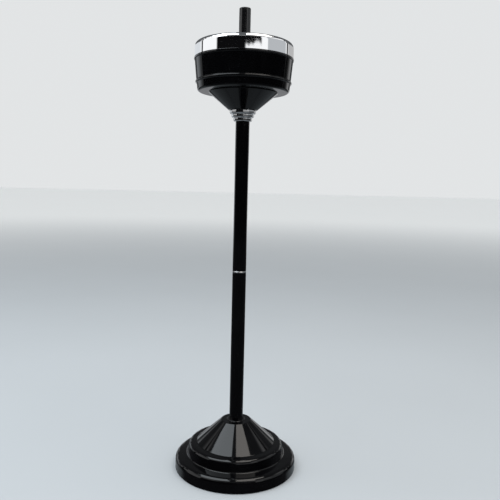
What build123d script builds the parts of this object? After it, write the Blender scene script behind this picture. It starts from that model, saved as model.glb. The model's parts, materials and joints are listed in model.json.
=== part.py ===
from build123d import *
import math
import os

# A free-standing ashtray bin: a weighted stepped base, a post of two tubes, a round bowl, and a
# lift-off lid whose push knob drives a spinning disc down a twisted strip.
# Millimetres, +Z up, the origin at the middle of the underside.

# driving dimensions
base_radius = 81.5
bowl_radius = 65
tube_radius = 9.2
tube_length = 204
tube_wall = 1.2
sheet = 1.2
thin_sheet = 1.0
bolt_radius = 3.95
thread_radius = 4.0
bolt_hole = 4.4
hex_radius = 7.5
slip = 0.05
body_gap = 0.3

# base heights
pad_top = 1.5
skirt_foot = 0.8
plate_sheet = 1.5
pan_height = 9.0
neck_height = 64.0
neck_hole = 10.3
neck_lip = 12.4
neck_top = 64.9
neck_foot = 60.5
post_foot = 62.3
socket_depth = 14.5
flange_depth = 1.5

# heights up the post
ring_depth = 2.0
ring_foot = post_foot + tube_length
upper_foot = ring_foot + ring_depth
post_top = upper_foot + tube_length

# collar, cone and drum; each collar tier is its radius, foot and top
collar_tiers = [(12.2, 467.5, 472.5), (14.7, 472.5, 477.2), (17.2, 477.2, 482.4)]
collar_top = 482.4
drum_foot = 505.5
drum_top = 549.0
cone_foot_radius = 18.9
cone_top_radius = 45.5
drum_foot_radius = 60.4
bead_radius = 63.3
lip_radius = 65.5

# lid
lid_foot = drum_top + body_gap
lid_top = 568.9
throat_radius = 38.6
dish_inner = (39.4, 553.6)
dish_outer = (54.5, 563.5)
dish_slope = math.degrees(math.atan2(dish_outer[1] - dish_inner[1], dish_outer[0] - dish_inner[0]))

# bridge under the lid
strap_width = 14
strap_sheet = 1.5
strap_foot = 514.0
strap_reach = 46.5
flange_reach = 52.5
rivet_radius = 1.5
rivet_circle = 49.8
rivet_spread = 4.6

# spindle, hub and knob
turn_pitch = 50
strip_width = 6
strip_sheet = 1.6
strip_top = 584.0
strip_play = 0.25
seat_top = strap_foot + strap_sheet + thin_sheet
disc_radius = 40.3
disc_top = drum_top
hub_foot = 545.4
hub_top = 566.0
neck_radius = 5.7
knob_radius = 7.75
knob_bore = 5.78
knob_foot = 557.2
knob_top = 614.8
washer_top = hub_foot - body_gap
washer_sheet = 0.9
spring_radius = 8.4
wire_radius = 0.5
spring_turns = 5
retainer_foot = 561.0


def cylinder(radius, foot, top):
    return Pos(0, 0, foot) * Cylinder(radius, top - foot, align=(Align.CENTER, Align.CENTER, Align.MIN))


def ring(outer, inner, foot, top):
    return cylinder(outer, foot, top) - cylinder(inner, foot - 1, top + 1)


def soften(solid, radius):
    return fillet(solid.edges().filter_by(GeomType.CIRCLE), radius)


def spun(points, bends, thickness):
    # sheet spun to an outline, which is its outer face, so the sheet lies on the outline's left
    outline = FilletPolyline(*points, radius=bends)
    return revolve(Plane.XZ * make_face(offset(outline, thickness, side=Side.LEFT)), Axis.Z)


def hexagon(foot, top):
    return Pos(0, 0, foot) * extrude(RegularPolygon(hex_radius, 6), top - foot)


def twisted(width, thickness, foot, top):
    # a flat strip turned evenly about Z, level with X at height 0
    steps = math.ceil((top - foot) / turn_pitch * 24)
    sections = []
    for step in range(steps + 1):
        height = foot + (top - foot) * step / steps
        turn = 360 * height / turn_pitch
        sections.append(Pos(0, 0, height) * Rot(0, 0, turn) * Rectangle(width, thickness))
    return loft(sections)


def on_circle(solid, radius, angles):
    return Compound([Rot(0, 0, angle) * Pos(radius, 0, 0) * solid for angle in angles])


# base

base_points = [
    (base_radius, skirt_foot),
    (base_radius, 17.3),
    (66.2, 19.3),
    (62.5, 33.6),
    (52.8, 34.4),
    (20.0, neck_height),
    (neck_hole, neck_height),
    (neck_hole, neck_foot),
]
base_bends = [6.8, 2.0, 5.4, 2.2, 1.4, 1.3]


def base_pad():
    return ring(74, 40, 0, pad_top)


def base_plate():
    rim = base_radius - sheet - 0.9
    points = [(bolt_hole, pan_height), (13, pan_height), (15, pad_top), (rim, pad_top), (rim, 6)]
    return spun(points, [1.0, 3.0, 2.0], plate_sheet)


def base_shell():
    return spun(base_points, base_bends, sheet)


def base_weight():
    # a cast block that follows the inside of the shell, resting on the plate
    outline = FilletPolyline(*base_points, radius=base_bends)
    closing = Polyline(outline @ 1, (0, neck_foot), (0, -9), (base_radius, -9), outline @ 0)
    filled = offset(make_face(outline.edges() + closing.edges()), -sheet - 3.4)
    return revolve(Plane.XZ * filled, Axis.Z) & ring(base_radius, 22, pad_top + plate_sheet, 50)


def base_washer():
    return ring(11, bolt_hole, pan_height - plate_sheet, pan_height)


def base_bolt():
    head_top = pan_height - plate_sheet
    shank = cylinder(bolt_radius, head_top - 1, post_foot + 12)
    return hexagon(head_top - 5.3, head_top) + shank


def base_sleeve():
    return ring(7.5, bolt_hole, pan_height + plate_sheet, post_foot - flange_depth)


def neck_bush():
    # its lip rests on the cone's flat top, round the foot of the post
    lip = cylinder(neck_lip, neck_height, neck_top)
    lip = fillet(lip.edges().filter_by(GeomType.CIRCLE).sort_by(Axis.Z)[-1], 0.6)
    body = lip + cylinder(neck_hole - slip, neck_foot - 2, neck_height)
    return body - cylinder(tube_radius + slip, neck_foot - 3, neck_top + 1)


# post

def tube(foot):
    return ring(tube_radius, tube_radius - tube_wall, foot, foot + tube_length)


def plug(foot):
    return ring(tube_radius - tube_wall - slip, thread_radius, foot, foot + socket_depth)


def lower_socket():
    flange = ring(tube_radius, thread_radius, post_foot - flange_depth, post_foot)
    return plug(post_foot) + flange


def joint_ring():
    body = soften(cylinder(tube_radius + 0.35, ring_foot, upper_foot), 0.6)
    return body - cylinder(thread_radius, ring_foot - 1, upper_foot + 1)


def joint_stud():
    return cylinder(bolt_radius, ring_foot - 12, upper_foot + 12)


# bowl

def bowl_collar():
    body = cylinder(collar_tiers[0][0] - 1.2, collar_tiers[0][1] + 1, collar_top)
    for radius, foot, top in collar_tiers:
        body += soften(cylinder(radius, foot, top), 1.4)
    body -= cylinder(tube_radius + slip, collar_tiers[0][1] - 1, post_top)
    return body - cylinder(bolt_hole, post_top - 1, collar_top + 1)


def bowl_cone():
    points = [
        (bolt_hole, collar_top),
        (cone_foot_radius, collar_top),
        (cone_top_radius, drum_foot - 0.8),
        (cone_top_radius, drum_foot),
    ]
    return spun(points, [1.2, 0.8], thin_sheet)


def bowl_spacer():
    return ring(8, bolt_hole, collar_top + thin_sheet, drum_foot)


def band(outer, inner, foot, top, bend):
    # a ring whose outer edges are rounded
    return soften(cylinder(outer, foot, top), bend) - cylinder(inner, foot - 1, top + 1)


def bowl_drum():
    # flat floor, straight foot, flared wall, with a rolled bead and a rolled lip
    wall = [(bolt_hole, drum_foot), (drum_foot_radius, drum_foot), (61.9, 517.8), (64.9, drum_top - 0.4)]
    drum = spun(wall, [3.2, 4.0], sheet)
    drum += band(bead_radius, 61.2, 516.1, 519.5, 1.4)
    return drum + band(lip_radius, 63.8, 545.8, drum_top, 1.2)


def bowl_washer():
    return ring(9.5, bolt_hole, drum_foot + sheet, drum_foot + sheet + 1)


def bowl_bolt():
    head_foot = drum_foot + sheet + 1
    shank = cylinder(bolt_radius, post_top - 12, head_foot + 1)
    return hexagon(head_foot, head_foot + 4) + shank


# lid

def rivet_place(lift):
    # a point on the dish's rivet circle, turned so that local Z leaves the dish squarely
    height = dish_inner[1] + (rivet_circle - dish_inner[0]) * math.tan(math.radians(dish_slope))
    return Pos(0, 0, height) * Rot(0, -dish_slope, 0) * Pos(0, 0, lift)


def rivet_holes(radius):
    drill = rivet_place(0) * Cylinder(radius, 12)
    angles = [side + turn for side in (0, 180) for turn in (-rivet_spread, rivet_spread)]
    return on_circle(drill, rivet_circle, angles)


def lid_shell():
    points = [
        (bowl_radius, lid_foot),
        (bowl_radius, lid_top),
        (57.2, lid_top),
        dish_outer,
        dish_inner,
        (throat_radius, lid_foot),
    ]
    return spun(points, [6.3, 1.3, 4.0, 2.0], thin_sheet) - rivet_holes(rivet_radius + slip)


def lid_spigot():
    return ring(62.4, 61.4, 542, lid_foot + 1.2) + ring(63.9, 61.4, lid_foot + 0.2, lid_foot + 1.2)


def lid_bridge():
    # the flanges lie under the dish, a hair clear of it
    rise = math.tan(math.radians(dish_slope))
    drop = (thin_sheet + 0.1 + strap_sheet) / math.cos(math.radians(dish_slope))
    leg_top = dish_inner[1] + (strap_reach - dish_inner[0]) * rise - drop
    flange_top = dish_inner[1] + (flange_reach - dish_inner[0]) * rise - drop
    right = [(strap_reach, strap_foot), (strap_reach, leg_top), (flange_reach, flange_top)]
    left = [(-x, z) for x, z in reversed(right)]
    outline = FilletPolyline(*left, *right, radius=[1.0, 3.0, 3.0, 1.0])
    face = Plane.XZ * make_face(offset(outline, strap_sheet, side=Side.LEFT))
    strap = extrude(face, strap_width / 2, both=True)
    return strap - rivet_holes(rivet_radius + 0.1) - cylinder(2 + slip, strap_foot - 1, strap_foot + 3)


def bridge_rivets():
    depth = thin_sheet + 0.1 + strap_sheet
    shank = Cylinder(rivet_radius, depth + 1.2)
    upper = soften(Pos(0, 0, (depth + 1.1) / 2 + 0.1) * Cylinder(2.8, 1.1), 0.45)
    lower = soften(Pos(0, 0, -(depth + 1.1) / 2 - 0.2) * Cylinder(2.8, 1.1), 0.45)
    rivet = rivet_place(-depth / 2) * (shank + upper + lower)
    angles = [side + turn for side in (0, 180) for turn in (-rivet_spread, rivet_spread)]
    return on_circle(rivet, rivet_circle, angles)


def spring_seat():
    return ring(10, 5 + slip, strap_foot + strap_sheet, seat_top)


def spindle_strip():
    # twisted strip on a round foot, its tail riveted through the strap
    foot = cylinder(5, strap_foot + strap_sheet, seat_top + 1.5)
    tail = cylinder(2, strap_foot - 0.5, seat_top)
    head = soften(cylinder(3.6, strap_foot - 1.3, strap_foot), 0.5)
    return twisted(strip_width, strip_sheet, seat_top + 1, strip_top) + foot + tail + head


# knob and what slides with it

def push_knob():
    body = Pos(0, 0, (knob_foot + knob_top) / 2) * Cone(knob_radius, knob_radius - 0.25, knob_top - knob_foot)
    body = soften(body, 0.7)
    body -= cylinder(knob_bore, knob_foot - 1, knob_top - 3)
    return body - cylinder(6.4, retainer_foot - 0.05, retainer_foot + 1.05)


def knob_retainer():
    closed = ring(6.35, 5.4, retainer_foot, retainer_foot + 1)
    return closed - Pos(6, 0, retainer_foot + 0.5) * Box(4, 2.5, 3)


def thrust_washer():
    return ring(8.6, neck_radius + 0.3, knob_foot - 0.9, knob_foot)


def spring_washer():
    return ring(10, 3.6, washer_top - washer_sheet, washer_top)


def return_spring():
    foot = seat_top + wire_radius + 0.1
    height = washer_top - washer_sheet - wire_radius - 0.1 - foot
    coil = Helix(height / spring_turns, height, spring_radius, center=(0, 0, foot))
    return sweep(Plane(coil @ 0, z_dir=coil % 0) * Circle(wire_radius), path=coil, is_frenet=True)


# spinning disc

def spin_disc():
    # a pressed disc that closes the throat from below, stiffened by radial ribs
    points = [
        (disc_radius, disc_top - 3.2),
        (disc_radius, disc_top),
        (16, disc_top),
        (13.5, disc_top + 1.6),
        (neck_radius + 0.6, disc_top + 1.6),
    ]
    disc = spun(points, [1.5, 3.0, 3.0], thin_sheet)
    rib = soften(Rot(0, 90, 0) * Cylinder(0.9, 17), 0.6)
    for angle in range(0, 360, 60):
        disc += Rot(0, 0, angle) * Pos(27, 0, disc_top - 0.05) * rib
    return disc - disc_rivet_holes()


def disc_rivet_holes():
    return on_circle(cylinder(1.2 + slip, hub_foot, disc_top + 4), 9.3, range(0, 360, 120))


def hub_nut():
    disc_underside = disc_top + 1.6 - thin_sheet
    body = cylinder(6.2, hub_foot, disc_underside) + cylinder(12, disc_underside - 1.4, disc_underside)
    body += cylinder(neck_radius, disc_underside, hub_top)
    body -= ring(neck_radius + 1, 5.1, retainer_foot - body_gap, retainer_foot + 1 + body_gap)
    play = 2 * strip_play
    slot = twisted(strip_width + play, strip_sheet + play, hub_foot - 1, hub_top + 1)
    return body - slot - disc_rivet_holes()


def disc_rivets():
    disc_face = disc_top + 1.6
    flange_foot = disc_face - thin_sheet - 1.4
    shank = cylinder(1.2, flange_foot - 0.5, disc_face + 0.5)
    upper = soften(cylinder(2.2, disc_face, disc_face + 0.9), 0.35)
    lower = soften(cylinder(2.2, flange_foot - 0.9, flange_foot), 0.35)
    return on_circle(shank + upper + lower, 9.3, range(0, 360, 120))


nodes = {
    "base_pad": base_pad(),
    "base_plate": base_plate(),
    "base_shell": base_shell(),
    "base_weight": base_weight(),
    "base_washer": base_washer(),
    "base_bolt": base_bolt(),
    "base_sleeve": base_sleeve(),
    "neck_bush": neck_bush(),
    "lower_tube": tube(post_foot),
    "lower_socket": lower_socket(),
    "lower_plug": plug(ring_foot - socket_depth),
    "joint_ring": joint_ring(),
    "joint_stud": joint_stud(),
    "upper_tube": tube(upper_foot),
    "upper_socket": plug(upper_foot),
    "upper_plug": plug(post_top - socket_depth),
    "bowl_collar": bowl_collar(),
    "bowl_cone": bowl_cone(),
    "bowl_spacer": bowl_spacer(),
    "bowl_drum": bowl_drum(),
    "bowl_washer": bowl_washer(),
    "bowl_bolt": bowl_bolt(),
    "lid_shell": lid_shell(),
    "lid_spigot": lid_spigot(),
    "lid_bridge": lid_bridge(),
    "bridge_rivets": bridge_rivets(),
    "spring_seat": spring_seat(),
    "spindle_strip": spindle_strip(),
    "push_knob": push_knob(),
    "knob_retainer": knob_retainer(),
    "thrust_washer": thrust_washer(),
    "spring_washer": spring_washer(),
    "return_spring": return_spring(),
    "spin_disc": spin_disc(),
    "hub_nut": hub_nut(),
    "disc_rivets": disc_rivets(),
}

os.makedirs("parts", exist_ok=True)
for name, shape in nodes.items():
    export_step(shape, f"parts/{name}.step")
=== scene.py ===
import json
import math

import bpy
from mathutils import Matrix, Vector


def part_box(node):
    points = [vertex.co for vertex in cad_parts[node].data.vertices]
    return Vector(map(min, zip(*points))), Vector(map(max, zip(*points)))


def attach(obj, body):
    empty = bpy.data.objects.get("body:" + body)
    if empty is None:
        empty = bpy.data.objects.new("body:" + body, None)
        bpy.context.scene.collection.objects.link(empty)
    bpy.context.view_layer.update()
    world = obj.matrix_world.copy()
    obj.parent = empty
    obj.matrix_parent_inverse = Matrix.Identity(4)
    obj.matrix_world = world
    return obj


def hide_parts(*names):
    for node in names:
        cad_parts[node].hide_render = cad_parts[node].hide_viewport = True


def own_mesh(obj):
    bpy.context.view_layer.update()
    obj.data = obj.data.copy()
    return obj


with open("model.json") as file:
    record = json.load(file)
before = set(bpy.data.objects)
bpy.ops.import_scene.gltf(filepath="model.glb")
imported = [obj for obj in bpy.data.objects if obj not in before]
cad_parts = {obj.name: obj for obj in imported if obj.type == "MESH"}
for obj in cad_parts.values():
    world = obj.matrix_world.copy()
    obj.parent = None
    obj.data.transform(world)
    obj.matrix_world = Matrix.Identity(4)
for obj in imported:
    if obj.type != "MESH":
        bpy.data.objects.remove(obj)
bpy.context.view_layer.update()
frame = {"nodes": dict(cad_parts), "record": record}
print("frame loaded:", len(frame["nodes"]), "nodes")

mm = 0.001
turns = 192     # facets round a large spun piece
cornerSteps = 8     # facets in a rounded corner


def top(node):
    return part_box(node)[1][2]


def foot(node):
    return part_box(node)[0][2]


def radiusOf(node):
    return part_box(node)[1][0]


class Val:
    # wraps a number socket, so that sums on it add Math nodes
    def __init__(self, graph, socket):
        self.graph = graph
        self.socket = socket

    def math(self, operation, other, swap=False):
        pair = [other, self] if swap else [self, other]
        return self.graph.add("ShaderNodeMath", {"operation": operation}, {0: pair[0], 1: pair[1]}).val()

    def __add__(self, other):
        return self.math("ADD", other)

    def __radd__(self, other):
        return self.math("ADD", other, True)

    def __sub__(self, other):
        return self.math("SUBTRACT", other)

    def __rsub__(self, other):
        return self.math("SUBTRACT", other, True)

    def __mul__(self, other):
        return self.math("MULTIPLY", other)

    def __truediv__(self, other):
        return self.math("DIVIDE", other)

    def __pow__(self, other):
        return self.math("POWER", other)

    def over(self, limit):
        return self.math("GREATER_THAN", limit)

    def ramp(self, low, high, start=0.0, end=1.0):
        # smooth step from start to end as the value goes from low to high
        sockets = {"Value": self, "From Min": low, "From Max": high, "To Min": start, "To Max": end}
        return self.graph.add("ShaderNodeMapRange", {"interpolation_type": "SMOOTHSTEP"}, sockets).val()


class Placed:
    # a node that has been added, with short ways to its outputs
    def __init__(self, graph, node):
        self.graph = graph
        self.node = node

    def out(self, name=0):
        return self.node.outputs[name]

    def val(self, name=0):
        return Val(self.graph, self.node.outputs[name])


class Graph:
    def __init__(self, tree):
        self.tree = tree

    def add(self, kind, settings=None, sockets=None):
        # a node of any type: its settings first, then the values or links of its sockets
        node = self.tree.nodes.new(kind)
        for name, value in (settings or {}).items():
            setattr(node, name, value)
        for name, value in (sockets or {}).items():
            if isinstance(value, Val):
                value = value.socket
            if isinstance(value, Placed):
                value = value.out()
            if isinstance(value, bpy.types.NodeSocket):
                self.tree.links.new(value, node.inputs[name])
            else:
                node.inputs[name].default_value = value
        return Placed(self, node)

    def noise(self, scale, detail=2.0, roughness=0.5, vector=None):
        vector = vector or self.place()
        sockets = {"Scale": scale, "Detail": detail, "Roughness": roughness, "Vector": vector}
        return self.add("ShaderNodeTexNoise", {}, sockets).val("Fac")

    def cells(self, scale):
        sockets = {"Scale": scale, "Vector": self.place()}
        return self.add("ShaderNodeTexVoronoi", {}, sockets).val("Distance")

    def place(self):
        return self.add("ShaderNodeTexCoord").out("Object")

    def stretched(self, scale):
        return self.add("ShaderNodeMapping", {}, {"Vector": self.place(), "Scale": scale}).out()

    def cylinderPlace(self, around, across, along):
        # angle, radius and height as a vector, for marks that run round the Z axis
        x, y, z = self.axes()
        angle = self.add("ShaderNodeMath", {"operation": "ARCTAN2"}, {0: y, 1: x}).val()
        radius = (x * x + y * y) ** 0.5
        sockets = {"X": angle * around, "Y": radius * across, "Z": z * along}
        return self.add("ShaderNodeCombineXYZ", {}, sockets).out()

    def axes(self):
        split = self.add("ShaderNodeSeparateXYZ", {}, {"Vector": self.place()})
        return split.val("X"), split.val("Y"), split.val("Z")

    def mix(self, factor, first, second):
        def colour(value):
            return (*value, 1) if isinstance(value, tuple) else value
        sockets = {"Factor": factor, 6: colour(first), 7: colour(second)}
        return self.add("ShaderNodeMix", {"data_type": "RGBA"}, sockets).out(2)

    def bump(self, height, strength, distance):
        sockets = {"Height": height, "Strength": strength, "Distance": distance}
        return self.add("ShaderNodeBump", {}, sockets).out()


def newMaterial(name, recipe):
    material = bpy.data.materials.new(name)
    material.use_nodes = True
    material.node_tree.nodes.clear()
    graph = Graph(material.node_tree)
    surface = graph.add("ShaderNodeBsdfPrincipled", {}, recipe(graph))
    graph.add("ShaderNodeOutputMaterial", {}, {"Surface": surface})
    return material


paint = {
    "deep": (0.0012, 0.0012, 0.0015),
    "bloom": (0.0032, 0.0033, 0.0037),
    "dust": (0.10, 0.10, 0.10),
    "gloss": 0.055,
    "haze": 0.075,
    "peelScale": 620,
    "peelDepth": 0.03 * mm,
}


def blackPaint(graph):
    # stoved gloss paint: orange peel, faint wiping haze, hairline scratches and settled dust
    wiped = graph.noise(26, 5, 0.62, graph.stretched((1, 1, 0.45)))
    streaks = graph.noise(9, 4, 0.7, graph.cylinderPlace(3.0, 40, 260))
    haze = wiped.ramp(0.42, 0.78) * 0.7 + streaks.ramp(0.5, 0.8) * 0.3
    specks = (1 - graph.cells(420).ramp(0.045, 0.085)) * graph.noise(34, 2).over(0.55)
    hairs = graph.noise(60, 1, 0.5, graph.stretched((0.25, 5.5, 1.3))).ramp(0.74, 0.78)
    peel = graph.noise(paint["peelScale"], 1.5)
    tint = graph.mix(haze, paint["deep"], paint["bloom"])
    return {
        "Base Color": graph.mix(specks * 0.5, tint, paint["dust"]),
        "Roughness": paint["gloss"] + haze * paint["haze"] + specks * 0.3 + hairs * 0.07,
        "Normal": graph.bump(peel - hairs * 0.35 + specks * 0.5, 0.10, paint["peelDepth"]),
        "IOR": 1.42,
    }


plating = {
    "bright": (0.90, 0.905, 0.915),
    "dull": (0.72, 0.74, 0.77),
    "gloss": 0.018,
    "haze": 0.07,
    "lineDepth": 0.012 * mm,
}


def chromePlate(graph):
    # mirror plating over spun steel: faint polishing rings, wiping smears and tiny pits
    smear = graph.noise(38, 4, 0.6, graph.stretched((1, 1, 0.6))).ramp(0.5, 0.85)
    rings = graph.noise(7, 3, 0.65, graph.cylinderPlace(0.6, 420, 420))
    pits = 1 - graph.cells(640).ramp(0.03, 0.06)
    pits = pits * graph.noise(60, 2).over(0.6)
    tint = graph.mix(smear * 0.5 + pits * 0.5, plating["bright"], plating["dull"])
    return {
        "Base Color": tint,
        "Metallic": 1.0,
        "Roughness": plating["gloss"] + smear * plating["haze"] + rings.ramp(0.4, 0.8) * 0.035 + pits * 0.2,
        "Normal": graph.bump(rings - pits, 0.12, plating["lineDepth"]),
    }


plastic = {
    "deep": (0.004, 0.004, 0.0045),
    "worn": (0.016, 0.0155, 0.015),
    "gloss": 0.10,
    "topHeight": top("push_knob"),
}


def blackPlastic(graph):
    # moulded gloss plastic, rubbed duller where a finger pushes it
    z = graph.axes()[2]
    touched = z.ramp(plastic["topHeight"] - 7 * mm, plastic["topHeight"])
    grain = graph.noise(900, 2)
    rubbed = graph.noise(210, 4, 0.6).ramp(0.42, 0.7) * (0.25 + touched * 0.75)
    flow = graph.noise(14, 3, 0.6, graph.cylinderPlace(2.2, 30, 30))
    return {
        "Base Color": graph.mix(rubbed * 0.6, plastic["deep"], plastic["worn"]),
        "Roughness": plastic["gloss"] + rubbed * 0.16 + flow.ramp(0.4, 0.7) * 0.05,
        "Normal": graph.bump(grain + rubbed * 0.5, 0.12, 0.02 * mm),
        "Coat Weight": 0.25,
        "Coat Roughness": 0.06,
    }


def zincSteel(graph):
    # bright zinc: crystalline mottling with a faint blue and straw cast
    mottle = graph.cells(180)
    cast = graph.noise(22, 4, 0.6)
    drawn = graph.noise(30, 3, 0.6, graph.cylinderPlace(1.5, 260, 260))
    tint = graph.mix(cast.ramp(0.35, 0.65), (0.56, 0.60, 0.66), (0.68, 0.65, 0.56))
    return {
        "Base Color": graph.mix(mottle.ramp(0.1, 0.6) * 0.35, tint, (0.42, 0.43, 0.45)),
        "Metallic": 1.0,
        "Roughness": 0.26 + mottle.ramp(0.1, 0.7) * 0.12 + drawn.ramp(0.4, 0.7) * 0.08,
        "Normal": graph.bump(drawn + mottle * 0.4, 0.2, 0.02 * mm),
    }


def springSteel(graph):
    # oiled drawn wire
    drawn = graph.noise(520, 3, 0.6)
    oil = graph.noise(70, 3).ramp(0.4, 0.7)
    return {
        "Base Color": graph.mix(oil, (0.34, 0.34, 0.35), (0.50, 0.48, 0.44)),
        "Metallic": 1.0,
        "Roughness": 0.18 + oil * 0.16 + drawn * 0.06,
        "Normal": graph.bump(drawn, 0.2, 0.015 * mm),
    }


def turnedBrass(graph):
    # lathe rings under a little tarnish
    rings = graph.noise(5, 3, 0.6, graph.cylinderPlace(0.5, 900, 900))
    tarnish = graph.noise(120, 5, 0.65).ramp(0.45, 0.75)
    return {
        "Base Color": graph.mix(tarnish, (0.80, 0.58, 0.24), (0.45, 0.30, 0.13)),
        "Metallic": 1.0,
        "Roughness": 0.16 + rings.ramp(0.3, 0.7) * 0.14 + tarnish * 0.2,
        "Normal": graph.bump(rings, 0.3, 0.02 * mm),
    }


def castCement(graph):
    # trowelled cement with sand grains and air holes, the holes painted darker as painted shade
    cloud = graph.noise(30, 6, 0.6)
    sand = graph.noise(700, 3, 0.7)
    holes = 1 - graph.cells(210).ramp(0.08, 0.16)
    tint = graph.mix(cloud.ramp(0.3, 0.7), (0.30, 0.29, 0.27), (0.46, 0.45, 0.42))
    return {
        # painted shade: the air holes get a darker colour for the shade inside them
        "Base Color": graph.mix(holes, tint, (0.16, 0.155, 0.15)),
        "Roughness": 0.86 + sand * 0.1,
        "Normal": graph.bump(sand * 0.5 + cloud - holes, 0.7, 0.4 * mm),
    }


def padRubber(graph):
    # closed-cell foam rubber, dusty from the floor
    cell = graph.cells(1100)
    dust = graph.noise(60, 5, 0.65).ramp(0.48, 0.75)
    return {
        "Base Color": graph.mix(dust * 0.6, (0.012, 0.012, 0.012), (0.075, 0.072, 0.068)),
        "Roughness": 0.82 + dust * 0.12,
        "Normal": graph.bump(cell, 0.5, 0.12 * mm),
    }


def nylonWhite(graph):
    # natural nylon with a fine moulded skin
    skin = graph.noise(800, 2)
    cloud = graph.noise(90, 3)
    return {
        "Base Color": graph.mix(cloud.ramp(0.3, 0.7), (0.72, 0.70, 0.62), (0.80, 0.79, 0.73)),
        "Roughness": 0.42 + cloud * 0.1,
        "Normal": graph.bump(skin, 0.2, 0.03 * mm),
        "Subsurface Weight": 0.1,
        "Subsurface Radius": (0.002, 0.002, 0.002),
    }


finishes = {
    "gloss_black": newMaterial("glossBlackPaint", blackPaint),
    "chrome": newMaterial("chromePlate", chromePlate),
    "plastic_black": newMaterial("plasticBlack", blackPlastic),
    "zinc_steel": newMaterial("zincSteel", zincSteel),
    "spring_steel": newMaterial("springSteel", springSteel),
    "brass": newMaterial("turnedBrass", turnedBrass),
    "cement": newMaterial("castCement", castCement),
    "rubber": newMaterial("padRubber", padRubber),
    "nylon": newMaterial("nylonWhite", nylonWhite),
}
slotOf = {part["node"]: part["material_slot"] for part in frame["record"]["subparts"]}
for node, obj in frame["nodes"].items():
    obj.data.materials.clear()
    obj.data.materials.append(finishes[slotOf[node]])
print("finishes made:", len(finishes))


def rounded(points, bends):
    # a run of (radius, height) points with its corners made arcs, and close pairs of points beside
    # each arc and end, so that flats stay flat when shaded smooth
    path = [Vector(points[0])]
    for before, corner, after, bend in zip(points, points[1:], points[2:], bends):
        corner = Vector(corner)
        back = (Vector(before) - corner).normalized()
        ahead = (Vector(after) - corner).normalized()
        if bend == 0:
            path.append(corner)
            continue
        half = back.angle(ahead) / 2
        start = corner + back * (bend / math.tan(half))
        centre = corner + (back + ahead).normalized() * (bend / math.sin(half))
        sweep = (start - centre).angle_signed(corner + ahead * (bend / math.tan(half)) - centre)
        for step in range(cornerSteps + 1):
            path.append(centre + Matrix.Rotation(-sweep * step / cornerSteps, 2) @ (start - centre))
    path.append(Vector(points[-1]))
    return withGuards(path)


def withGuards(path, guard=0.12 * mm):
    guarded = [path[0]]
    for last, point in zip(path, path[1:]):
        run = point - last
        if run.length > 6 * guard:
            guarded += [last + run.normalized() * guard, point - run.normalized() * guard]
        guarded.append(point)
    return guarded


def sheetLoop(points, bends, thickness):
    # the closed section of a sheet whose outer face is the outline and whose body is on its left
    path = rounded(points, bends)
    inner = []
    for index, point in enumerate(path):
        run = path[min(index + 1, len(path) - 1)] - path[max(index - 1, 0)]
        inner.append(point + Vector((-run.y, run.x)).normalized() * thickness)
    lastEdge = withGuards([path[-1], inner[-1]])[1:-1]
    firstEdge = withGuards([inner[0], path[0]])[1:-1]
    return path + lastEdge + inner[::-1] + firstEdge


def solidLoop(points, bends):
    # the closed section of a solid piece, starting and ending at the same inner corner
    return rounded([*points, points[0]], bends)[:-1]


def lathed(loop, facets, placement=Matrix(), closed=False):
    # vertices and faces of a section spun round Z and moved by a matrix: an open section starts and
    # ends on the axis, and a closed one stays clear of it
    vertices = []
    rows = []
    for point in loop:
        count = 1 if point.x < 1e-6 else facets
        rows.append([len(vertices) + (step if count > 1 else 0) for step in range(facets)])
        for step in range(count):
            angle = 2 * math.pi * step / facets
            spot = Vector((point.x * math.cos(angle), point.x * math.sin(angle), point.y))
            vertices.append(placement @ spot)
    nextRows = rows[1:] + rows[:1] if closed else rows[1:]
    faces = []
    for row, nextRow in zip(rows, nextRows):
        for step in range(facets):
            ahead = (step + 1) % facets
            face = list(dict.fromkeys([row[step], row[ahead], nextRow[ahead], nextRow[step]]))
            if len(face) > 2:
                faces.append(face)
    return vertices, faces


def spin(name, loop, body, slotName, replaced, facets=turns):
    # a piece from a closed section
    vertices, faces = lathed(loop, facets, closed=True)
    return finishPiece(name, vertices, faces, body, slotName, replaced)


def finishPiece(name, vertices, faces, body, slotName, replaced):
    mesh = bpy.data.meshes.new(name)
    mesh.from_pydata(vertices, [], faces)
    mesh.validate()
    mesh.shade_smooth()
    mesh.materials.append(finishes[slotName])
    piece = bpy.data.objects.new(name, mesh)
    bpy.context.scene.collection.objects.link(piece)
    return register(piece, body, replaced)


def register(piece, body, replaced):
    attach(piece, body)
    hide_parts(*replaced)
    return piece


def newTree(name, inputs):
    tree = bpy.data.node_groups.new(name, "GeometryNodeTree")
    for label, kind in inputs:
        tree.interface.new_socket(label, in_out="INPUT", socket_type=kind)
    tree.interface.new_socket("Geometry", in_out="OUTPUT", socket_type="NodeSocketGeometry")
    graph = Graph(tree)
    return tree, graph, graph.add("NodeGroupInput")


def endTree(graph, geometry, given):
    # realized, shaded smooth and given its material
    whole = graph.add("GeometryNodeRealizeInstances", {}, {"Geometry": geometry})
    smooth = graph.add("GeometryNodeSetShadeSmooth", {}, {"Geometry": whole})
    made = graph.add("GeometryNodeSetMaterial", {}, {"Geometry": smooth, "Material": given.out("Material")})
    graph.add("NodeGroupOutput", {}, {"Geometry": made})


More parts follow.
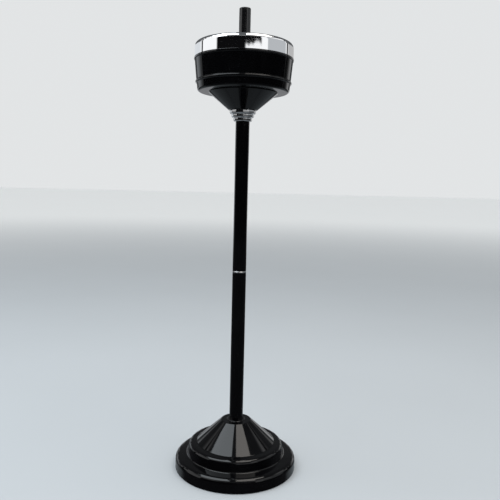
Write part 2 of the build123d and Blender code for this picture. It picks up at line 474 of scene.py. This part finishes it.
def makeAroundAxisTree():
    # copies of a piece set evenly round Z, joined to whatever mesh carries the modifier
    inputs = [
        ("Geometry", "NodeSocketGeometry"),
        ("Piece", "NodeSocketObject"),
        ("Copies", "NodeSocketInt"),
        ("Step", "NodeSocketFloat"),
        ("Material", "NodeSocketMaterial"),
    ]
    tree, graph, given = newTree("copiesAroundAxis", inputs)
    spots = graph.add("GeometryNodeMeshLine", {}, {"Count": given.out("Copies"), "Offset": (0, 0, 0)})
    piece = graph.add("GeometryNodeObjectInfo", {}, {"Object": given.out("Piece")})
    index = graph.add("GeometryNodeInputIndex").val()
    angle = graph.add("ShaderNodeCombineXYZ", {}, {"Z": index * given.val("Step")})
    sockets = {"Points": spots, "Instance": piece.out("Geometry"), "Rotation": angle}
    copies = graph.add("GeometryNodeInstanceOnPoints", {}, sockets)
    joined = graph.add("GeometryNodeJoinGeometry", {}, {"Geometry": copies})
    graph.tree.links.new(given.out("Geometry"), joined.node.inputs["Geometry"])
    endTree(graph, joined, given)
    return tree


def makeCoilTree():
    # a wire wound round Z, its end turns laid flat and close
    inputs = [
        ("Geometry", "NodeSocketGeometry"),
        ("Radius", "NodeSocketFloat"),
        ("Wire", "NodeSocketFloat"),
        ("Turns", "NodeSocketFloat"),
        ("Flat Share", "NodeSocketFloat"),
        ("Foot", "NodeSocketFloat"),
        ("Height", "NodeSocketFloat"),
        ("Material", "NodeSocketMaterial"),
    ]
    tree, graph, given = newTree("coilOfWire", inputs)
    line = graph.add("GeometryNodeCurvePrimitiveLine", {}, {"Start": (0, 0, 0), "End": (0, 0, 1)})
    dense = graph.add("GeometryNodeResampleCurve", {}, {"Curve": line, "Count": 480})
    along = graph.add("GeometryNodeSplineParameter").val("Factor")
    angle = along * given.val("Turns") * (2 * math.pi)
    flat = given.val("Flat Share")
    limits = {"Value": along, "From Min": flat, "From Max": 1 - flat}
    rise = graph.add("ShaderNodeMapRange", {"interpolation_type": "SMOOTHSTEP"}, limits).val()
    level = rise * 0.35 + graph.add("ShaderNodeMapRange", {}, limits).val() * 0.65
    spot = {
        "X": graph.add("ShaderNodeMath", {"operation": "COSINE"}, {0: angle}).val() * given.val("Radius"),
        "Y": graph.add("ShaderNodeMath", {"operation": "SINE"}, {0: angle}).val() * given.val("Radius"),
        "Z": given.val("Foot") + level * given.val("Height"),
    }
    position = graph.add("ShaderNodeCombineXYZ", {}, spot)
    coil = graph.add("GeometryNodeSetPosition", {}, {"Geometry": dense, "Position": position})
    wireSize = {"Radius": given.out("Wire"), "Resolution": 14}
    section = graph.add("GeometryNodeCurvePrimitiveCircle", {}, wireSize)
    sockets = {"Curve": coil, "Profile Curve": section, "Fill Caps": True}
    endTree(graph, graph.add("GeometryNodeCurveToMesh", {}, sockets), given)
    return tree


def makeTwistTree():
    # a flat strip turned evenly about Z, level with X at height 0
    inputs = [
        ("Geometry", "NodeSocketGeometry"),
        ("Width", "NodeSocketFloat"),
        ("Thickness", "NodeSocketFloat"),
        ("Foot", "NodeSocketFloat"),
        ("Height", "NodeSocketFloat"),
        ("Pitch", "NodeSocketFloat"),
        ("Material", "NodeSocketMaterial"),
    ]
    tree, graph, given = newTree("twistedStrip", inputs)
    size = {"X": given.out("Width"), "Y": given.out("Thickness"), "Z": given.out("Height")}
    sizeVector = graph.add("ShaderNodeCombineXYZ", {}, size)
    counts = {"Size": sizeVector, "Vertices X": 9, "Vertices Y": 4, "Vertices Z": 180}
    bar = graph.add("GeometryNodeMeshCube", {}, counts)
    lift = given.val("Foot") + given.val("Height") * 0.5
    raised = graph.add("ShaderNodeCombineXYZ", {}, {"Z": lift})
    placed = graph.add("GeometryNodeTransform", {}, {"Geometry": bar.out("Mesh"), "Translation": raised})
    here = graph.add("GeometryNodeInputPosition")
    z = graph.add("ShaderNodeSeparateXYZ", {}, {"Vector": here}).val("Z")
    turned = {"Vector": here, "Angle": z / given.val("Pitch") * (2 * math.pi)}
    spot = graph.add("ShaderNodeVectorRotate", {"rotation_type": "Z_AXIS"}, turned)
    strip = graph.add("GeometryNodeSetPosition", {}, {"Geometry": placed, "Position": spot})
    endTree(graph, strip, given)
    return tree


def grow(name, tree, values, start=None):
    # runs a tree on a mesh, or on an empty one, and keeps the result as a plain mesh
    carrier = start or bpy.data.objects.new(name, bpy.data.meshes.new(name))
    if not start:
        bpy.context.scene.collection.objects.link(carrier)
    modifier = carrier.modifiers.new("grow", "NODES")
    modifier.node_group = tree
    for item in tree.interface.items_tree:
        if item.in_out == "INPUT" and item.name in values:
            modifier[item.identifier] = values[item.name]
    bpy.context.view_layer.update()
    evaluated = carrier.evaluated_get(bpy.context.evaluated_depsgraph_get())
    mesh = bpy.data.meshes.new_from_object(evaluated)
    carrier.modifiers.clear()
    carrier.data = mesh
    mesh.name = name
    return carrier


aroundAxisTree = makeAroundAxisTree()
coilTree = makeCoilTree()
twistTree = makeTwistTree()


def makeTemplate(name, vertices, faces):
    # a small piece to copy, thrown away once it has been copied
    mesh = bpy.data.meshes.new(name)
    mesh.from_pydata(vertices, [], faces)
    mesh.shade_smooth()
    template = bpy.data.objects.new(name, mesh)
    bpy.context.scene.collection.objects.link(template)
    return template


def rivetLoop(shank, head, headFace, footFace, dome):
    # section of a rivet with domed heads, from its lower pole to its upper one
    points = [
        (0, footFace - dome),
        (head * 0.55, footFace - dome),
        (head, footFace - dome * 0.35),
        (head, footFace),
        (shank, footFace),
        (shank, headFace),
        (head, headFace),
        (head, headFace + dome * 0.35),
        (head * 0.55, headFace + dome),
        (0, headFace + dome),
    ]
    soft = dome * 0.3
    return rounded(points, [soft, soft * 0.6, 0, 0, 0, 0, soft * 0.6, soft])


base = {
    "radius": 81.5 * mm,
    "skirtTop": 17.3 * mm,
    "rise": 19.3 * mm,
    "neckFoot": 60.5 * mm,
    "neckTop": 64.0 * mm,
    "neckHole": 10.3 * mm,
    "sheet": 1.2 * mm,
    "bends": [6.8 * mm, 2.0 * mm, 5.4 * mm, 2.2 * mm, 1.4 * mm, 1.3 * mm],
}


def makeBaseShell():
    # a skirt, a rounded step and a cone cut off flat round the post
    r, neck, hole = base["radius"], base["neckTop"], base["neckHole"]
    outline = [
        (r, foot("base_shell")),
        (r, base["skirtTop"]),
        (66.2 * mm, base["rise"]),
        (62.5 * mm, 33.6 * mm),
        (52.8 * mm, 34.4 * mm),
        (20.0 * mm, neck),
        (hole, neck),
        (hole, base["neckFoot"]),
    ]
    loop = sheetLoop(outline, base["bends"], base["sheet"])
    return spin("baseShell", loop, "stand", "gloss_black", ["base_shell"], 256)


def makeBasePad():
    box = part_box("base_pad")
    inner, outer = 40 * mm, box[1][0]
    soft = 0.4 * mm
    points = [(inner, 0), (outer, 0), (outer, box[1][2]), (inner, box[1][2])]
    return spin("basePad", solidLoop(points, [soft, soft, 0, 0]), "stand", "rubber", ["base_pad"])


def makeNeckBush():
    bore, sleeve, lip = 9.25 * mm, base["neckHole"] - 0.05 * mm, radiusOf("neck_bush")
    low, high, seat = foot("neck_bush"), top("neck_bush"), base["neckTop"]
    points = [(bore, low), (sleeve, low), (sleeve, seat), (lip, seat), (lip, high), (bore, high)]
    bends = [0.3 * mm, 0, 0.1 * mm, 0.6 * mm, 0.25 * mm, 0]
    return spin("neckBush", solidLoop(points, bends), "stand", "plastic_black", ["neck_bush"])


makeBaseShell()
makeBasePad()
makeNeckBush()
print("base made")


post = {
    "radius": radiusOf("upper_tube"),
    "bore": 8 * mm,
    "endSoft": 0.35 * mm,
}


def makeTube(name, node):
    low, high = foot(node), top(node)
    soft = post["endSoft"]
    points = [(post["bore"], low), (post["radius"], low), (post["radius"], high), (post["bore"], high)]
    return spin(name, solidLoop(points, [soft, soft, 0, 0]), "stand", "gloss_black", [node], 128)


def makeJointRing():
    low, high = foot("joint_ring"), top("joint_ring")
    outer = radiusOf("joint_ring")
    soft = 0.7 * mm
    points = [(4 * mm, low), (outer, low), (outer, high), (4 * mm, high)]
    return spin("jointRing", solidLoop(points, [soft, soft, 0, 0]), "stand", "chrome", ["joint_ring"], 128)


makeTube("lowerTube", "lower_tube")
makeTube("upperTube", "upper_tube")
makeJointRing()
print("post made")


bowl = {
    "tiers": [(12.2, 467.5, 472.5), (14.7, 472.5, 477.2), (17.2, 477.2, 482.4)],
    "tierSoft": 1.4,
    "groove": 1.5,
    "postBore": 9.25,     # the collar's lower bore takes the tube, up to the seat
    "postSeat": 472.3,
    "boltBore": 4.4,
    "coneFoot": 18.9 * mm,
    "coneTop": radiusOf("bowl_cone"),
    "sheet": 1.2 * mm,
    "coneSheet": 1.0 * mm,
}


def makeCollar():
    # three rounded rings, one above another, on a common bore
    wide, seat, narrow = bowl["postBore"], bowl["postSeat"], bowl["boltBore"]
    points = [(wide, bowl["tiers"][0][1])]
    bends = []
    soft = bowl["tierSoft"]
    for radius, low, high in bowl["tiers"]:
        points += [(radius, low), (radius, high), (radius - bowl["groove"], high)]
        bends += [soft, soft, 0]
    points += [(narrow, bowl["tiers"][-1][2]), (narrow, seat), (wide, seat)]
    bends += [0, 0, 0, 0]
    loop = solidLoop([(r * mm, z * mm) for r, z in points], [bend * mm for bend in bends])
    return spin("bowlCollar", loop, "stand", "chrome", ["bowl_collar"])


def makeCone():
    low, high = foot("bowl_cone"), top("bowl_cone")
    outline = [
        (bowl["boltBore"] * mm, low),
        (bowl["coneFoot"], low),
        (bowl["coneTop"], high - 0.8 * mm),
        (bowl["coneTop"], high),
    ]
    loop = sheetLoop(outline, [1.2 * mm, 0.8 * mm], bowl["coneSheet"])
    return spin("bowlCone", loop, "stand", "gloss_black", ["bowl_cone"])


def makeDrum():
    # flat floor, straight foot, rolled bead, slightly flared wall and a rolled lip
    low, high = foot("bowl_drum"), top("bowl_drum")
    lip, bore = radiusOf("bowl_drum"), bowl["boltBore"] * mm
    points = [
        (bore, low),
        (60.4 * mm, low),
        (61.55 * mm, low + 10.6 * mm),
        (63.3 * mm, low + 10.6 * mm),
        (63.3 * mm, low + 14.0 * mm),
        (62.1 * mm, low + 14.0 * mm),
        (64.6 * mm, high - 3.2 * mm),
        (lip, high - 3.2 * mm),
        (lip, high),
        (63.6 * mm, high),
        (62.6 * mm, high - 12 * mm),
        (60.6 * mm, high - 31 * mm),
        (59.2 * mm, low + bowl["sheet"]),
        (bore, low + bowl["sheet"]),
    ]
    bends = [3.2, 0.45, 1.45, 1.45, 0.45, 0.25, 1.3, 0.35, 0.6, 0, 0, 1.4, 0]
    loop = solidLoop(points, [bend * mm for bend in bends])
    return spin("bowlDrum", loop, "stand", "gloss_black", ["bowl_drum"], 256)


makeCollar()
makeCone()
makeDrum()
print("bowl made")


lid = {
    "radius": radiusOf("lid_shell"),
    "sheet": 1.0 * mm,
    "throat": 38.6 * mm,
    "dishInner": (39.4 * mm, 553.6 * mm),
    "dishOuter": (54.5 * mm, 563.5 * mm),
    "bends": [6.3 * mm, 1.3 * mm, 4.0 * mm, 2.0 * mm],
    "rivetCircle": 49.8 * mm,
    "rivetSpread": math.radians(4.6),
}


def makeLidShell():
    low, high = foot("lid_shell"), top("lid_shell")
    outline = [
        (lid["radius"], low),
        (lid["radius"], high),
        (57.2 * mm, high),
        lid["dishOuter"],
        lid["dishInner"],
        (lid["throat"], low),
    ]
    loop = sheetLoop(outline, lid["bends"], lid["sheet"])
    return spin("lidShell", loop, "lid", "chrome", ["lid_shell"], 256)


def makeSpigot():
    low, high = foot("lid_spigot"), top("lid_spigot")
    inner, outer, flange = 61.4 * mm, 62.4 * mm, 63.9 * mm
    step = high - 1 * mm
    points = [(outer, low), (outer, step), (flange, step), (flange, high), (inner, high), (inner, low)]
    bends = [0.2 * mm, 0.3 * mm, 0.3 * mm, 0, 0.6 * mm, 0.2 * mm]
    return spin("lidSpigot", solidLoop(points, bends), "lid", "zinc_steel", ["lid_spigot"])


def makeBridgeRivets():
    # two pairs of domed rivets through the dish and the strap's flanges
    rise = lid["dishOuter"][1] - lid["dishInner"][1]
    run = lid["dishOuter"][0] - lid["dishInner"][0]
    slope = math.atan2(rise, run)
    height = lid["dishInner"][1] + (lid["rivetCircle"] - lid["dishInner"][0]) * math.tan(slope)
    loop = rivetLoop(1.5 * mm, 2.7 * mm, 0.12 * mm, -2.75 * mm, 1.0 * mm)
    vertices = []
    faces = []
    for side in (-1, 1):
        turned = Matrix.Rotation(side * lid["rivetSpread"], 4, "Z")
        seat = Matrix.Translation((lid["rivetCircle"], 0, height)) @ Matrix.Rotation(-slope, 4, "Y")
        more, moreFaces = lathed(loop, 32, turned @ seat)
        faces += [[index + len(vertices) for index in face] for face in moreFaces]
        vertices += more
    pair = makeTemplate("rivetPair", vertices, faces)
    values = {"Piece": pair, "Copies": 2, "Step": math.pi, "Material": finishes["zinc_steel"]}
    rivets = grow("bridgeRivets", aroundAxisTree, values)
    bpy.data.objects.remove(pair)
    return register(rivets, "lid", ["bridge_rivets"])


spindle = {
    "width": 6 * mm,
    "thickness": 1.6 * mm,
    "pitch": 50 * mm,
    "headRadius": 3.6 * mm,
    "neckRadius": 2.0 * mm,
    "footRadius": 5.0 * mm,
    "strapUnder": 514.0 * mm,
    "strapOver": 515.5 * mm,
    "footTop": 518.0 * mm,
}


def makeSpindle():
    low, high = spindle["footTop"] - 1 * mm, top("spindle_strip")
    values = {
        "Width": spindle["width"],
        "Thickness": spindle["thickness"],
        "Foot": low,
        "Height": high - low,
        "Pitch": spindle["pitch"],
        "Material": finishes["zinc_steel"],
    }
    return register(grow("twistedSpindle", twistTree, values), "lid", ["spindle_strip"])


def makeSpindleFoot():
    # the strip's round foot, and its tail headed over under the strap
    low, high = foot("spindle_strip"), spindle["footTop"]
    under, over = spindle["strapUnder"], spindle["strapOver"]
    head, neck, wide = spindle["headRadius"], spindle["neckRadius"], spindle["footRadius"]
    lower = [(0, low), (head, low), (head, under), (neck, under)]
    upper = [(neck, over), (wide, over), (wide, high), (0, high)]
    loop = rounded(lower + upper, [0.5 * mm, 0, 0, 0, 0, 0.5 * mm])
    vertices, faces = lathed(loop, 64)
    return finishPiece("spindleFoot", vertices, faces, "lid", "zinc_steel", ["spindle_strip"])


makeLidShell()
makeSpigot()
makeBridgeRivets()
makeSpindle()
makeSpindleFoot()
print("lid made")


knob = {"topRadius": 7.5 * mm, "footRadius": 7.75 * mm, "bore": 5.78 * mm, "crown": 3 * mm}


def makeKnob():
    low, high = foot("push_knob"), top("push_knob")
    roof = high - knob["crown"]
    points = [
        (0, roof),
        (knob["bore"], roof),
        (knob["bore"], low),
        (knob["footRadius"], low),
        (knob["topRadius"], high),
        (0, high),
    ]
    loop = rounded(points, [0.8 * mm, 0.3 * mm, 0.5 * mm, 0.9 * mm])
    vertices, faces = lathed(loop, 128)
    return finishPiece("pushKnob", vertices, faces, "knob", "plastic_black", ["push_knob"])


spring = {"radius": 8.4 * mm, "wire": 0.5 * mm, "turns": 6.5, "flatShare": 0.12, "travel": 22 * mm}


def makeSpring():
    low, high = foot("return_spring"), top("return_spring")
    values = {
        "Radius": spring["radius"],
        "Wire": spring["wire"],
        "Turns": spring["turns"],
        "Flat Share": spring["flatShare"],
        "Foot": low + spring["wire"],
        "Height": high - low - 2 * spring["wire"],
        "Material": finishes["spring_steel"],
    }
    coil = register(grow("returnSpring", coilTree, values), "lid", ["return_spring"])
    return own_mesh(coil)


makeKnob()
makeSpring()
print("knob made")


disc = {
    "radius": radiusOf("spin_disc"),
    "sheet": 1.0 * mm,
    "face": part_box("lid_shell")[0][2] - 0.3 * mm,
    "hubRise": 1.6 * mm,
    "ribMiddle": 27 * mm,
    "ribHalf": 8.5 * mm,
    "rivetCircle": 9.3 * mm,
}


def makeDisc():
    face = disc["face"]
    outline = [
        (disc["radius"], foot("spin_disc")),
        (disc["radius"], face),
        (16 * mm, face),
        (13.5 * mm, face + disc["hubRise"]),
        (6.3 * mm, face + disc["hubRise"]),
    ]
    loop = sheetLoop(outline, [1.5 * mm, 3 * mm, 3 * mm], disc["sheet"])
    plate = spin("spinDisc", loop, "spinner", "chrome", ["spin_disc"])
    middle = Matrix.Translation((disc["ribMiddle"], 0, face - 0.05 * mm))
    lying = middle @ Matrix.Rotation(math.pi / 2, 4, "Y")
    half = disc["ribHalf"]
    section = rounded([(0, -half), (0.9 * mm, -half), (0.9 * mm, half), (0, half)], [0.6 * mm, 0.6 * mm])
    rib = makeTemplate("rib", *lathed(section, 24, lying))
    values = {"Piece": rib, "Copies": 6, "Step": math.pi / 3, "Material": finishes["chrome"]}
    grow("spinDisc", aroundAxisTree, values, plate)
    bpy.data.objects.remove(rib)
    return plate


def makeDiscRivets():
    face = disc["face"] + disc["hubRise"]
    loop = rivetLoop(1.2 * mm, 2.15 * mm, face, face - 2.4 * mm, 0.85 * mm)
    place = Matrix.Translation((disc["rivetCircle"], 0, 0))
    rivet = makeTemplate("rivet", *lathed(loop, 28, place))
    values = {"Piece": rivet, "Copies": 3, "Step": math.tau / 3, "Material": finishes["zinc_steel"]}
    rivets = grow("discRivets", aroundAxisTree, values)
    bpy.data.objects.remove(rivet)
    return register(rivets, "spinner", ["disc_rivets"])


makeDisc()
makeDiscRivets()
print("disc made")


studio = {
    "floorSize": 60,
    "floorColour": (0.46, 0.49, 0.515),
    "paintedHazeColour": (0.985, 1.0, 1.0),
    "airColour": (0.93, 0.95, 0.96),
    "airPower": 0.82,
    "darkColour": (0.004, 0.004, 0.0045),
    "darkTurn": math.radians(-13),     # middle of the dark shape, from straight behind the camera
    "darkHalf": math.radians(50),
    "ceiling": (0.10, 0.105, 0.11),
    "frontAir": (1.03, 1.04, 1.05),
    "backLeft": (0.74, 0.77, 0.80),
    "backRight": (0.50, 0.50, 0.50),
    "sideLeft": (0.74, 0.78, 0.82),
    "sideRight": (0.90, 0.91, 0.92),
    "farFloor": (0.42, 0.43, 0.45),
    "nearFloor": (0.045, 0.047, 0.052),
    "underFloor": (0.24, 0.27, 0.29),
    "screenColour": (0.50, 0.52, 0.54),
}


def floorPaper(graph):
    # pale matt sheet, painted lighter far off as painted haze, so that it meets the air without a line
    x, y = graph.axes()[:2]
    far = ((x * x + y * y) ** 0.5).ramp(1.2, 6.5)
    soft = graph.noise(3, 3)
    fine = graph.noise(260, 4, 0.6)
    shade = tuple(channel * 0.95 for channel in studio["floorColour"])
    near = graph.mix(soft, studio["floorColour"], shade)
    return {
        # painted haze: the colour turns near white with distance, standing in for light over the far floor
        "Base Color": graph.mix(far, near, studio["paintedHazeColour"]),
        "Roughness": 0.75 + fine * 0.1,
        "Normal": graph.bump(fine, 0.1, 0.2 * mm),
    }


def makeFloor():
    half = studio["floorSize"] / 2
    mesh = bpy.data.meshes.new("floor")
    corners = [(-half, -half, 0), (half, -half, 0), (half, half, 0), (-half, half, 0)]
    mesh.from_pydata(corners, [], [[0, 1, 2, 3]])
    mesh.materials.append(newMaterial("floorPaper", floorPaper))
    floor = bpy.data.objects.new("floor", mesh)
    bpy.context.scene.collection.objects.link(floor)
    floor.visible_glossy = False


lamps = [
    {"name": "overLeft", "x": -0.97, "width": 1.5, "power": 23, "colour": (0.88, 0.95, 1.0)},
    {"name": "overRight", "x": 0.53, "width": 0.94, "power": 13.5, "colour": (1.0, 0.96, 0.91)},
]
lampRow, lampHeight, lampDepth = -0.3, 1.9, 1.3


def makeLamp(lamp):
    # a soft panel overhead that faces straight down
    light = bpy.data.lights.new(lamp["name"], "AREA")
    light.shape = "RECTANGLE"
    light.size, light.size_y = lamp["width"], lampDepth
    light.energy = lamp["power"]
    light.color = lamp["colour"]
    panel = bpy.data.objects.new(lamp["name"], light)
    panel.location = (lamp["x"], lampRow, lampHeight)
    panel.rotation_euler = Vector((0, 0, -lampHeight)).to_track_quat("-Z", "Y").to_euler()
    bpy.context.scene.collection.objects.link(panel)


view = {
    "lens": 42.47,
    "shift": -0.05,
    "place": (0, -0.790, 0.383),
    "turn": math.radians(-0.94),
    "tilt": math.radians(90 - 3.8),     # looking 3.8 degrees down
    "roll": math.radians(1.35),
}


def makeCamera():
    data = bpy.data.cameras.new("camera")
    data.lens = view["lens"]
    data.shift_y = view["shift"]
    camera = bpy.data.objects.new("camera", data)
    camera.location = view["place"]
    turn = Matrix.Rotation(view["turn"], 4, "Z")
    tilt = Matrix.Rotation(view["tilt"], 4, "X")
    roll = Matrix.Rotation(view["roll"], 4, "Z")
    camera.rotation_euler = (turn @ tilt @ roll).to_euler()
    bpy.context.scene.collection.objects.link(camera)
    bpy.context.scene.camera = camera


def makeWorld():
    # what polished surfaces see: pale air above, a dark shape and dark room in front, the floor below
    world = bpy.data.worlds.new("studio")
    world.use_nodes = True
    world.node_tree.nodes.clear()
    graph = Graph(world.node_tree)
    aim = graph.add("ShaderNodeTexCoord").out("Generated")
    split = graph.add("ShaderNodeSeparateXYZ", {}, {"Vector": aim})
    x, y, z = split.val("X"), split.val("Y"), split.val("Z")
    ahead = graph.add("ShaderNodeMath", {"operation": "ARCTAN2"}, {0: x, 1: 0 - y}).val()

    def between(value, low, high, soft):
        return value.ramp(low - soft, low) * value.ramp(high, high + soft, 1, 0)

    def greater(first, second):
        return graph.add("ShaderNodeMath", {"operation": "MAXIMUM"}, {0: first, 1: second}).val()

    turn, half = studio["darkTurn"], studio["darkHalf"]
    left = ahead.ramp(-0.2, 0.2, 1, 0)
    front = between(ahead, -1.9, 1.9, 0.3)
    ragged = z + graph.noise(2.6, 3, 0.5, aim) * 0.16
    person = between(ahead, turn - half, turn + half, 0.08) * ragged.ramp(0.56, 0.62, 1, 0)
    chipped = z + graph.noise(4, 2, 0.5, aim) * 0.02
    gap = between(ahead, 0.10, 0.9, 0.10) * chipped.ramp(0.240, 0.243, 1, 0)
    screen = between(ahead, 0.98, 1.9, 0.05) * z.ramp(0.50, 0.56, 1, 0)
    posts = greater(between(ahead, -1.99, -1.92, 0.02), between(ahead, 2.0, 2.07, 0.02))
    posts = posts * z.ramp(0.60, 0.70, 1, 0)
    behind = graph.mix(left, studio["backRight"], studio["backLeft"])
    behind = graph.mix(between(z, 0.205, 0.246, 0.014), studio["ceiling"], behind)
    seen = graph.mix(front, behind, studio["frontAir"])
    seen = graph.mix(screen, seen, studio["screenColour"])
    seen = graph.mix(greater(person * (1 - gap), posts), seen, studio["darkColour"])
    seen = graph.mix(z.ramp(0.62, 0.70), seen, studio["ceiling"])
    side = graph.mix(left, studio["sideRight"], studio["sideLeft"])
    room = graph.mix(between(ahead, -1.95, 2.1, 0.35), side, studio["darkColour"])
    aside = between(ahead, -2.5, 2.5, 0.08) * (1 - front)
    level = greater(front * z.ramp(0.10, 0.17, 1, 0), aside * z.ramp(0.17, 0.20, 1, 0))
    level = greater(level, z.ramp(0.02, 0.06, 1, 0))
    seen = graph.mix(level, seen, room)
    near = between(ahead, -2.7, 2.7, 0.3)
    floor = graph.mix(near, studio["farFloor"], studio["nearFloor"])
    steep = greater(z.ramp(-0.93, -0.70, 1, 0), z.ramp(-0.34, -0.26, 1, 0) * (1 - front))
    floor = graph.mix(steep, floor, studio["underFloor"])
    seen = graph.mix(z.ramp(-0.14, -0.06, 1, 0), seen, floor)
    mirrored = graph.add("ShaderNodeBackground", {}, {"Color": seen, "Strength": 1.0})
    plain = {"Color": (*studio["airColour"], 1), "Strength": studio["airPower"]}
    air = graph.add("ShaderNodeBackground", {}, plain)
    ray = graph.add("ShaderNodeLightPath").out("Is Glossy Ray")
    both = graph.add("ShaderNodeMixShader", {}, {0: ray, 1: air, 2: mirrored})
    graph.add("ShaderNodeOutputWorld", {}, {"Surface": both})
    bpy.context.scene.world = world
    bpy.context.scene.view_settings.view_transform = "Standard"


makeFloor()
makeWorld()
for lamp in lamps:
    makeLamp(lamp)
makeCamera()
print("studio made")
